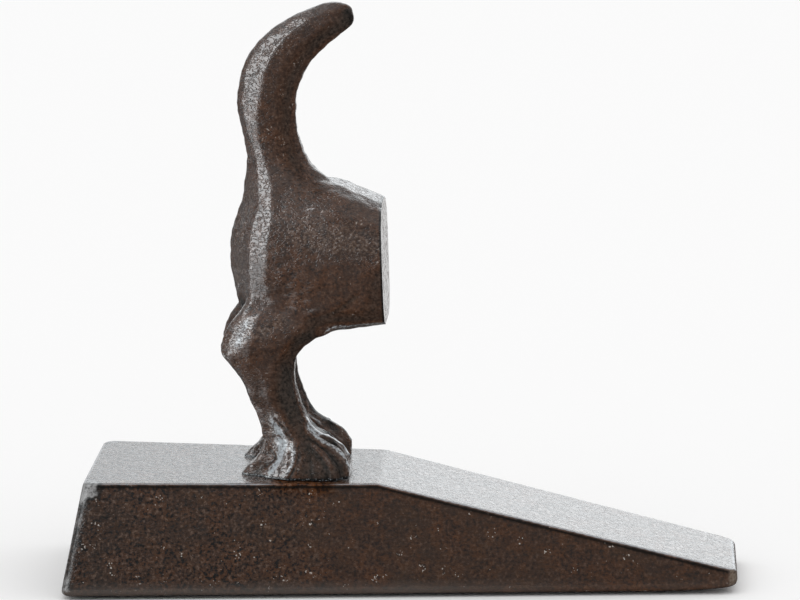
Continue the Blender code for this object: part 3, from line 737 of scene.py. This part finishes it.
# The wedge's: its foot painted grey as a reflection of the floor, its nose scuffed and painted pale for its
# sheen, painted shade under the rim that also darkens the chips' edges, a painted highlight on the rim, and
# bare iron on the chips that is also a painted highlight on the rear edge
FOOT_FLOOR_REFLECTION = colour(84, 77, 72)
NOSE_SCUFF_AND_SHEEN = colour(120, 111, 100)
RIM_SHADE_AND_CHIP_EDGE = colour(12, 10, 8)
RIM_HIGHLIGHT = colour(190, 196, 204)
BARE_IRON_AND_HIGHLIGHT = colour(150, 150, 150)

# The sizes of the iron's noises
CLOUD_SIZE = 11 * MM
MOTTLE_SIZE = 3.2 * MM
LUMP_SIZE = 1.8 * MM
CREASE_SIZE = 1.5 * MM
FINE_SIZE = 0.75 * MM
SPECK_SIZE = 0.5 * MM
PATCH_SIZE = 3 * MM

# The lacquer's creases run where their noise is near its middle: how many times as long as high they are, and
# how near the noise has to be
CREASE_LENGTH = 2.2
CREASE_WIDTH = 0.06
NOISE_MIDDLE = 0.5
NOISE_RANGE = (0.3, 0.7)

# The iron's relief: its depth, how far the noises go into it, and its strength on the dog and on the wedge
RELIEF_DEPTH = 0.09 * MM
PLATEAU_RELIEF = 0.7
FINE_RELIEF = 0.5
LUMP_RELIEF = 1.6
DOG_RELIEF = 1.1
HEEL_RELIEF = 0.68
SLOPE_RELIEF = 0.58
COAT_ROUGHNESS = 0.1


class Grain:
    """The noises that sand-cast iron's colour and relief share. stretch lengthens its grains sideways."""

    def __init__(self, nodes, stretch):
        self.where = nodes.place()
        longer = nodes.scaled(self.where, (1.0, 1 / stretch, 1.0))
        flatter = nodes.scaled(self.where, (1.0, 1.0, CREASE_LENGTH))
        off_middle = nodes.math("SUBTRACT", nodes.noise(flatter, CREASE_SIZE, 2.0), NOISE_MIDDLE)
        self.plateau = nodes.span(nodes.math("ABSOLUTE", off_middle), 0.0, CREASE_WIDTH)
        self.clouds = nodes.noise(self.where, CLOUD_SIZE, 3.0)
        self.mottle = nodes.noise(self.where, MOTTLE_SIZE, 3.0, 0.6)
        self.fine = nodes.noise(longer, FINE_SIZE, 2.0, 0.6)
        self.lumps = nodes.noise(longer, LUMP_SIZE, 1.0)


def iron_colour(nodes, grain, browns, grit, dullness, speckled, thinned=1.0):
    """Brown lacquer with dark pits and pale specks, which are painted glints.

    grit is how much the pits show, dullness how dark the brown is, speckled how much the specks show and
    thinned the share of the pits that is left. dullness and thinned may be a node's output.
    """
    brown = nodes.blend(nodes.span(grain.clouds, 0.38, 0.62), *browns)
    uneven = nodes.span(grain.clouds, 0.38, 0.6, 1.25 * grit, 0.6 * grit)
    pits = nodes.math("MULTIPLY", nodes.span(grain.fine, 0.49, 0.34), uneven, clamp=True)
    small = nodes.noise(grain.where, SPECK_SIZE, 1.0)
    specks = nodes.math("MULTIPLY_ADD", nodes.span(grain.mottle, 0.54, 0.66), 0.2, small)
    return nodes.layered(
        brown,
        (nodes.span(grain.mottle, 0.56, 0.44, 0.0, 0.5), MOTTLED),
        (dullness, DULL),
        (nodes.product(pits, thinned), PIT),
        (nodes.product(nodes.span(grain.fine, 0.54, 0.72, 0.0, 0.5 * grit), thinned), PALE_GRAIN),
        # pale specks painted as glints
        (nodes.span(specks, 0.81, 0.86, 0.0, speckled), GLINT_SPECK),
    )


def iron_surface(nodes, grain, painted, gloss, relief):
    """Cast iron's shader: a glossy coat over a rougher skin, both following the grain's relief."""
    height = nodes.math("MULTIPLY_ADD", grain.plateau, PLATEAU_RELIEF, nodes.product(grain.fine, FINE_RELIEF))
    height = nodes.math("MULTIPLY_ADD", grain.lumps, LUMP_RELIEF, height)
    bump = nodes.add("ShaderNodeBump", {"Strength": relief, "Distance": RELIEF_DEPTH, "Height": height})
    shader = nodes.add(
        "ShaderNodeBsdfPrincipled",
        {
            "Base Color": painted,
            "Roughness": nodes.span(grain.fine, *NOISE_RANGE, 0.5, 0.3),
            "Specular IOR Level": nodes.product(gloss, 0.5),
            "Normal": bump.outputs["Normal"],
            "Coat Weight": gloss,
            "Coat Roughness": COAT_ROUGHNESS,
            "Coat Normal": bump.outputs["Normal"],
        },
    )
    nodes.show(shader)


# The wear and painted light and shade at which each kind starts and is full, on the scale of the strokes
DULLED = (0.0, -0.25)
GRIMED_AND_SHADED = (-0.15, -0.55)
SOOTED_AND_SHADED = (-0.6, -0.85)
SCUFFS = (0.04, 0.2)
RUBS_AND_SHEEN = (0.38, 0.84)
BARED = (0.6, 0.8)
HIGHLIGHTED = (0.85, 1.05)

# The cut face is what faces forward this much
CUT_FACES_FORWARD = (0.95, 0.985)

# How far behind the cut face the skin's dark border starts and is full, how high over the soles the painted
# shadow of their crevice starts and is full, the size of the pale beads in it, and the size of the cut face's
# pits and how many times as wide as high they are
BORDER_FADE = (-0.6 * MM, -0.3 * MM)
SEAM_FADE = (0.6 * MM, 0.3 * MM)
BEAD_SIZE = 0.36 * MM
CUT_PIT_SIZE = 1.0 * MM
CUT_STRETCH = 5

# The oval on each side of the body where the grain is rubbed down: its middle, forward and up from under the
# middle of the stance, and its half length and half height
OVAL_FORWARD = 8 * MM
OVAL_UP = 41 * MM
OVAL_HALF_LENGTH = 13 * MM
OVAL_HALF_HEIGHT = 9 * MM


def dog_wear_and_light(nodes, grain, painted):
    """The dog's colour, gloss and share of the grain's depth, with the wear and painted light that its
    strokes left.
    """
    wear_and_light = nodes.add("ShaderNodeAttribute", attribute_name="wear_and_light").outputs["Fac"]
    ahead, _, _ = nodes.facing()
    cut = nodes.span(ahead, *CUT_FACES_FORWARD)
    side = nodes.rest(cut)

    def worn_and_lit(levels, most=1.0):
        """From 0 at the first level of wear and painted light to most at the second, everywhere but on the
        cut face.
        """
        return nodes.product(nodes.span(wear_and_light, *levels, 0.0, most), side)

    broken = nodes.math("ADD", wear_and_light, nodes.span(grain.fine, *NOISE_RANGE, -0.3, 0.3))
    dusty = nodes.span(grain.fine, 0.46, 0.62, 0.0, 0.55)
    _, _, height = nodes.split(grain.where)
    beads = nodes.span(nodes.noise(grain.where, BEAD_SIZE, 0.0), 0.62, 0.68, 0.0, 0.4)
    # Over the brown: grime and soot that are mostly painted shade, scuffs, rubbed iron with a painted
    # reflection, painted highlights, the dark border by the cut face and the painted shadow of the crevice
    # over the soles
    painted = nodes.layered(
        painted,
        (worn_and_lit(GRIMED_AND_SHADED), nodes.blend(nodes.span(grain.fine, 0.34, 0.6), DARK_GRIME_AND_SHADE, GRIME_AND_SHADE)),
        (worn_and_lit(SOOTED_AND_SHADED), SOOT_AND_SHADE),
        (nodes.product(nodes.span(wear_and_light, *SCUFFS), dusty, side), SCUFFED),
        (nodes.product(nodes.span(broken, *RUBS_AND_SHEEN), side), RUBBED_AND_SHEEN),
        (worn_and_lit(HIGHLIGHTED), PAINTED_HIGHLIGHT),
        (nodes.product(cut_border(nodes, grain), side), SOOT_AND_SHADE),
        # the painted shadow of the crevice over the soles, with pale beads in it
        (nodes.span(height, *(SOLE_POINT.z + up for up in SEAM_FADE)), nodes.blend(beads, SOOT_AND_SHADE, RUBBED_AND_SHEEN)),
    )
    lacquered = nodes.math("MULTIPLY_ADD", worn_and_lit(DULLED), -0.7, 1.0)
    lacquered = nodes.math("SUBTRACT", lacquered, worn_and_lit(BARED, 0.6))
    creased = nodes.product(nodes.span(grain.plateau, 0.0, 1.0, 0.63, 1.0), side)
    dressed = nodes.scaled(grain.where, (1.0, 1 / CUT_STRETCH, 1.0))
    pitted = nodes.product(nodes.span(nodes.noise(dressed, CUT_PIT_SIZE, 2.0, 0.6), 0.4, 0.5, 0.45, 1.0), cut)
    gloss = nodes.product(lacquered, nodes.math("ADD", creased, pitted))
    depth = nodes.product(nodes.math("MULTIPLY_ADD", cut, -0.7, 1.0), worn_oval(nodes, grain))
    return painted, gloss, depth


def cut_border(nodes, grain):
    """How dark the skin is by its distance behind the cut face."""
    beyond = nodes.vector("SUBTRACT", grain.where, tuple(CUT_POINT))
    ahead = nodes.vector("DOT_PRODUCT", beyond, tuple(CUT_NORMAL), "Value")
    return nodes.span(ahead, *BORDER_FADE, 0.0, 0.9)


def worn_oval(nodes, grain):
    """The share of the grain's depth that is left: less in the rubbed oval, 1 outside it."""
    half_x, half_z = OVAL_HALF_LENGTH, OVAL_HALF_HEIGHT
    middle = (-(SOLE_POINT.x + OVAL_FORWARD) / half_x, 0, -(SOLE_POINT.z + OVAL_UP) / half_z)
    off_middle = nodes.scaled(grain.where, (1 / half_x, 0, 1 / half_z), middle)
    away = nodes.vector("LENGTH", off_middle, output="Value")
    ragged = nodes.math("ADD", away, nodes.span(grain.lumps, *NOISE_RANGE, -0.15, 0.15))
    return nodes.span(ragged, 0.85, 1.05, 0.3, 1.0)


# The lacquer pooled round a paw: the paw's half length, width and thickness, how far ahead of the stance the
# paw's middle is, the share of a distance that counts sideways, how ragged the pool's edge is, how large the
# rags are, and how far from the paw it starts to fade and has faded
PAW_HALF = (5.5 * MM, 10.5 * MM, 1 * MM)
PAW_AHEAD = 2.6 * MM
POOL_SIDEWAYS = 0.35
POOL_RAGGED = 1.6 * MM
POOL_RAG_SIZE = 1.2 * MM
POOL_FADE = (1.8 * MM, 4.6 * MM)

# How the wedge's edges face: the rim of the top and the strip under it upward, the strip not at the nose, and
# the right-hand edges at the rear and the nose backward or forward, as the nose's end does
FACES_RIGHT = (-0.2, -0.5)
RIM_FACES_UP = ((0.75, 0.88), (0.97, 0.93))
UNDER_RIM_FACES_UP = ((0.14, 0.3), (0.7, 0.5))
UNDER_RIM_ENDS = (0.55, 0.35)
REAR_EDGE_FACES = (-0.3, -0.6)
NOSE_EDGE_FACES = (0.3, 0.55)
NOSE_FACES = (0.88, 0.96)

# The wedge's wear and painted light: the heights at which its rear edge gets a painted highlight, the height
# below which its foot is painted grey as a reflection of the floor, how ragged that is and where along it the
# reflection thins out, and how far from the heel's upper corners their chips and the dark edge of the chips
# reach
REAR_HIGHLIGHT_HIGH = (15 * MM, 22 * MM)
REAR_HIGHLIGHT_LOW = (6 * MM, 3 * MM)
FOOT_FADE = (4.9 * MM, 2.3 * MM)
FOOT_RAGGED = 1 * MM
FOOT_THINS = (5 * MM, 45 * MM)
CHIP_FADE = (5.6 * MM, 4.9 * MM)
CHIP_DARK_FADE = (6.8 * MM, 5.9 * MM)
CHIP_RAGGED = 3 * MM

# The parts of the wedge's mesh that its heel's upper corners are found in
TOP_LAYER = 1 * MM
REAR_LAYER = 3 * MM


def paw_pool(nodes, where):
    """How thick the lacquer pooled on the wedge round the paws, 0 away from them."""
    off_middle = nodes.vector("SUBTRACT", where, (STANCE_X + PAW_AHEAD, 0, SOLE_POINT.z))
    off_paw = nodes.vector("SUBTRACT", nodes.vector("ABSOLUTE", off_middle), (0, STANCE / 2, 0))
    beyond = nodes.vector("SUBTRACT", nodes.vector("ABSOLUTE", off_paw), PAW_HALF)
    beyond = nodes.vector("MAXIMUM", beyond, (0, 0, 0))
    away = nodes.vector("LENGTH", nodes.vector("MULTIPLY", beyond, (1, POOL_SIDEWAYS, 1)), output="Value")
    ragged = nodes.math("MULTIPLY_ADD", nodes.noise(where, POOL_RAG_SIZE, 2.0), POOL_RAGGED, away)
    return nodes.span(ragged, *POOL_FADE, 0.95, 0.0)


def heel_corners(nodes, where):
    """How far a point is from the nearer upper corner of the heel."""
    spots = per_vertex(frame["nodes"]["wedge_base"].data, "co")
    top = spots[spots[:, 2] > spots[:, 2].max() - TOP_LAYER]
    rear = top[top[:, 0] < top[:, 0].min() + REAR_LAYER]
    x, y, z = rear[:, 0].min(), rear[:, 1].max(), rear[:, 2].max()
    off_middle = nodes.vector("ABSOLUTE", nodes.vector("SUBTRACT", where, (x, 0, z)))
    return nodes.vector("LENGTH", nodes.vector("SUBTRACT", off_middle, (0, y, 0)), output="Value")


def wedge_wear_and_light(nodes, grain, painted):
    """The wedge's colour and gloss: painted shade and highlights on its edges, a painted floor reflection on
    its foot, scuffs, chips and lacquer pooled at the paws.
    """
    ahead, left, up = nodes.facing()
    along, _, height = nodes.split(grain.where)
    patchy = nodes.noise(grain.where, PATCH_SIZE, 3.0, 0.6)
    pooled = paw_pool(nodes, grain.where)
    to_the_right = nodes.span(left, *FACES_RIGHT)
    # the rim of the top, painted with a highlight except where the paws stand over it
    rim = nodes.band(up, *RIM_FACES_UP)
    # the strip under the rim, painted with shade
    under_rim_shade = nodes.product(nodes.band(up, *UNDER_RIM_FACES_UP), nodes.span(ahead, *UNDER_RIM_ENDS))
    # the rear edge, painted with a highlight in patches near its top and its bottom
    rear_edge = nodes.product(nodes.span(ahead, *REAR_EDGE_FACES), to_the_right)
    # the nose and the edge beside it, scuffed and painted pale for their sheen
    nose_edge = nodes.product(nodes.span(ahead, *NOSE_EDGE_FACES), to_the_right)
    nose = nodes.most(nose_edge, nodes.span(ahead, *NOSE_FACES))
    ends = nodes.math("ADD", nodes.span(height, *REAR_HIGHLIGHT_HIGH), nodes.span(height, *REAR_HIGHLIGHT_LOW))
    rear_edge_highlight = nodes.product(rear_edge, ends, nodes.span(patchy, 0.4, 0.55))
    off_corner = nodes.math("MULTIPLY_ADD", grain.lumps, CHIP_RAGGED, heel_corners(nodes, grain.where))
    chipped = nodes.product(nodes.span(off_corner, *CHIP_FADE), nodes.span(grain.fine, 0.38, 0.5, 0.3, 0.85))
    # the foot, painted grey as a reflection of the floor, less so towards the nose
    ragged = nodes.math("MULTIPLY_ADD", patchy, FOOT_RAGGED, height)
    foot = nodes.product(nodes.span(ragged, *FOOT_FADE, 0.0, 0.75), nodes.span(along, *FOOT_THINS, 1.0, 0.2))
    painted = nodes.layered(
        painted,
        (foot, FOOT_FLOOR_REFLECTION),
        (nodes.product(nose, nodes.span(grain.fine, 0.4, 0.6, 0.25, 0.7)), NOSE_SCUFF_AND_SHEEN),
        (nodes.product(under_rim_shade, 0.9), RIM_SHADE_AND_CHIP_EDGE),
        (nodes.product(rim, nodes.rest(pooled), 0.6), RIM_HIGHLIGHT),
        (nodes.span(off_corner, *CHIP_DARK_FADE, 0.0, 0.75), RIM_SHADE_AND_CHIP_EDGE),
        (nodes.most(rear_edge_highlight, chipped), BARE_IRON_AND_HIGHLIGHT),
    )
    matt = nodes.most(
        pooled, nodes.product(under_rim_shade, 0.8), nodes.product(rear_edge, 0.6), nodes.product(nose, 0.6)
    )
    return painted, nodes.rest(matt)


def dog_iron():
    made = bpy.data.materials.new("brown_lacquered_iron")
    nodes = Nodes(made)
    grain = Grain(nodes, stretch=1.0)
    brown = iron_colour(nodes, grain, DOG_BROWNS, grit=0.6, dullness=0.2, speckled=0.4)
    painted, gloss, depth = dog_wear_and_light(nodes, grain, brown)
    iron_surface(nodes, grain, painted, gloss, nodes.product(depth, DOG_RELIEF))
    return made


# Along the wedge: where the pits thin out, the heel's end gets duller, and the relief goes from heel to slope
PITS_THIN = (-30 * MM, -12 * MM)
END_DULLS = (-55 * MM, -70 * MM)
RELIEF_FALLS = (-30 * MM, 20 * MM)


def wedge_iron():
    made = bpy.data.materials.new("brown_lacquered_iron_dressed")
    nodes = Nodes(made)
    grain = Grain(nodes, stretch=1.8)
    along, _, _ = nodes.split(grain.where)
    thinned = nodes.span(along, *PITS_THIN, 1.1, 0.6)
    dullness = nodes.span(along, *END_DULLS, 0.0, 0.25)
    brown = iron_colour(nodes, grain, WEDGE_BROWNS, 1.2, dullness, 1.0, thinned)
    painted, gloss = wedge_wear_and_light(nodes, grain, brown)
    iron_surface(nodes, grain, painted, gloss, nodes.span(along, *RELIEF_FALLS, HEEL_RELIEF, SLOPE_RELIEF))
    return made


# What the screws and washers and what the pads are made of
STEEL = {"tint": colour(190, 190, 186), "roughness": 0.3, "metallic": 1, "grain": 0.4 * MM, "deep": 0.02 * MM}
RUBBER = {"tint": colour(38, 38, 38), "roughness": 0.8, "metallic": 0, "grain": 0.5 * MM, "deep": 0.1 * MM}
DARKER = 0.7
BUMP_STRENGTH = 0.4


def grained_material(name, tint, roughness, metallic, grain, deep):
    """A material of one colour whose grain, of the given size, shows in colour, gloss and relief."""
    made = bpy.data.materials.new(name)
    nodes = Nodes(made)
    uneven = nodes.noise(nodes.place(), grain, 3.0)
    bump = nodes.add("ShaderNodeBump", {"Strength": BUMP_STRENGTH, "Distance": deep, "Height": uneven})
    darker = tuple(part * DARKER for part in tint[:3]) + (1,)
    shader = nodes.add(
        "ShaderNodeBsdfPrincipled",
        {
            "Base Color": nodes.blend(nodes.span(uneven, *NOISE_RANGE), darker, tint),
            "Roughness": nodes.span(uneven, *NOISE_RANGE, roughness + 0.1, roughness - 0.05),
            "Metallic": metallic,
            "Normal": bump.outputs["Normal"],
        },
    )
    nodes.show(shader)
    return made


def paint(obj, finish):
    obj.data.materials.clear()
    obj.data.materials.append(finish)


# Floor, light and camera

FLOOR_HALF_SIZE = 6.0
FLOOR_WHITE = 0.96
COOL = (0.935, 0.975, 1.0, 1)

# What gloss sees: a dark floor and room in front, and a pale fan of floor, which starts so far behind the
# object and whose edges go so far aside for each distance back
FRONT_GLOOM = 0.07
BACK_FLOOR = 0.78
FAN_STARTS = (0.12, 0.3)
FAN_EDGE = (0.6, 0.35)

# and a paler ceiling, faint side walls, and a backdrop that is brighter on the right
CEILING = 0.36
RIGHT_WALL = 0.2
LEFT_WALL = 0.14
BACKDROP_LEFT = 0.99
BACKDROP_RIGHT = 1.56

# Where each starts and is full, by how far a direction goes up, east to the right or north to the back
CEILING_FROM = (0.25, 0.55)
RIGHT_WALL_FROM = (0.3, 0.9)
LEFT_WALL_FROM = (-0.3, -0.6)
WALLS_TO_THE_FRONT = (0.2, -0.2)
BACKDROP_FROM = (0.74, 0.94)
BACKDROP_UP_TO = (0.75, 0.45)
BACKDROP_BRIGHTENS = (-0.1, 0.05)

# Lamps: place, the point that they face, width, height and the brightness of their face
LAMPS = {
    "window": ((-0.44, -0.12, 0.36), (0, 0, 0.2), 0.25, 0.72, 5.5),
    "window_glow_on_the_floor": ((-0.34, -0.1, 0.001), (-0.34, -0.1, 1), 0.44, 0.4, 2.2),
}


def floor():
    """A plain white floor. Gloss sees it pale behind the object and dark elsewhere."""
    shape = bmesh.new()
    bmesh.ops.create_grid(shape, x_segments=1, y_segments=1, size=FLOOR_HALF_SIZE)
    mesh = bpy.data.meshes.new("floor")
    shape.to_mesh(mesh)
    shape.free()
    obj = new_object("floor", mesh)
    made = bpy.data.materials.new("floor")
    nodes = Nodes(made)
    right, back, _ = nodes.split(nodes.place())
    aside = nodes.math("ABSOLUTE", nodes.math("DIVIDE", right, back))
    fan = nodes.product(nodes.span(back, *FAN_STARTS), nodes.span(aside, *FAN_EDGE))
    gloss = nodes.span(fan, 0.0, 1.0, FRONT_GLOOM, BACK_FLOOR)
    glossy = nodes.add("ShaderNodeLightPath").outputs["Is Glossy Ray"]
    grey = nodes.math("MULTIPLY_ADD", glossy, nodes.math("SUBTRACT", gloss, FLOOR_WHITE), FLOOR_WHITE)
    tint = nodes.add("ShaderNodeCombineColor", {"Red": grey, "Green": grey, "Blue": grey})
    nodes.show(nodes.add("ShaderNodeBsdfDiffuse", {"Color": tint.outputs["Color"]}))
    paint(obj, made)


def studio_world():
    """White for the camera and for matt surfaces. Gloss sees a dim, cool room with a bright backdrop."""
    world = bpy.data.worlds.new("studio")
    bpy.context.scene.world = world
    nodes = Nodes(world)
    east, north, up = nodes.split(nodes.add("ShaderNodeTexCoord").outputs["Generated"])
    front = nodes.span(up, *CEILING_FROM, FRONT_GLOOM, CEILING)
    right = nodes.span(east, *RIGHT_WALL_FROM, 0.0, RIGHT_WALL)
    left = nodes.span(east, *LEFT_WALL_FROM, 0.0, LEFT_WALL)
    sides = nodes.product(nodes.math("ADD", right, left), nodes.span(north, *WALLS_TO_THE_FRONT))
    room = nodes.math("ADD", front, sides)
    brightness = nodes.span(east, *BACKDROP_BRIGHTENS, BACKDROP_LEFT, BACKDROP_RIGHT)
    behind = nodes.product(nodes.span(north, *BACKDROP_FROM), nodes.span(up, *BACKDROP_UP_TO))
    backdrop = nodes.math("MULTIPLY_ADD", behind, nodes.math("SUBTRACT", brightness, room), room)
    glossy = nodes.add("ShaderNodeLightPath").outputs["Is Glossy Ray"]
    strength = nodes.math("MULTIPLY_ADD", glossy, nodes.math("SUBTRACT", backdrop, 1.0), 1.0)
    tint = nodes.blend(glossy, (1, 1, 1, 1), COOL)
    light = nodes.add("ShaderNodeBackground", {"Color": tint, "Strength": strength})
    nodes.show(light, "ShaderNodeOutputWorld")


def lamp(name, place, aim, width, height, radiance):
    """A soft lamp that only gloss sees, at place and facing aim, whose face has the given radiance."""
    data = bpy.data.lights.new(name, "AREA")
    data.shape = "RECTANGLE"
    data.size = width
    data.size_y = height
    data.energy = radiance * math.pi * width * height
    data.color = COOL[:3]
    obj = new_object(name, data)
    obj.location = place
    obj.rotation_euler = (Vector(aim) - Vector(place)).to_track_quat("-Z", "Y").to_euler()
    obj.visible_camera = False
    obj.visible_diffuse = False


def camera():
    data = bpy.data.cameras.new("camera")
    data.sensor_width = SENSOR
    width = PICTURE_PIXELS / PIXELS_PER_MM * MM
    data.lens = SENSOR * VIEW_DISTANCE / width
    data.clip_start = CLIP_START
    obj = new_object("camera", data)
    level = math.cos(VIEW_ELEVATION)
    back = Vector((math.sin(VIEW_AZIMUTH) * level, -math.cos(VIEW_AZIMUTH) * level, math.sin(VIEW_ELEVATION)))
    obj.location = VIEW_TARGET + back * VIEW_DISTANCE
    obj.rotation_euler = (-back).to_track_quat("-Z", "Y").to_euler()
    bpy.context.scene.camera = obj


def main():
    camera()
    paint(dog(), dog_iron())
    paint(wedge(), wedge_iron())
    steel = grained_material("zinc_plated_steel", **STEEL)
    rubber = grained_material("soft_pad", **RUBBER)
    for name, node in frame["nodes"].items():
        if name.startswith(("paw_screw", "spring_washer")):
            paint(node, steel)
        elif name.startswith("pad_"):
            paint(node, rubber)
    floor()
    studio_world()
    for name, settings in LAMPS.items():
        lamp(name, *settings)
    bpy.context.scene.view_settings.view_transform = "Standard"


main()
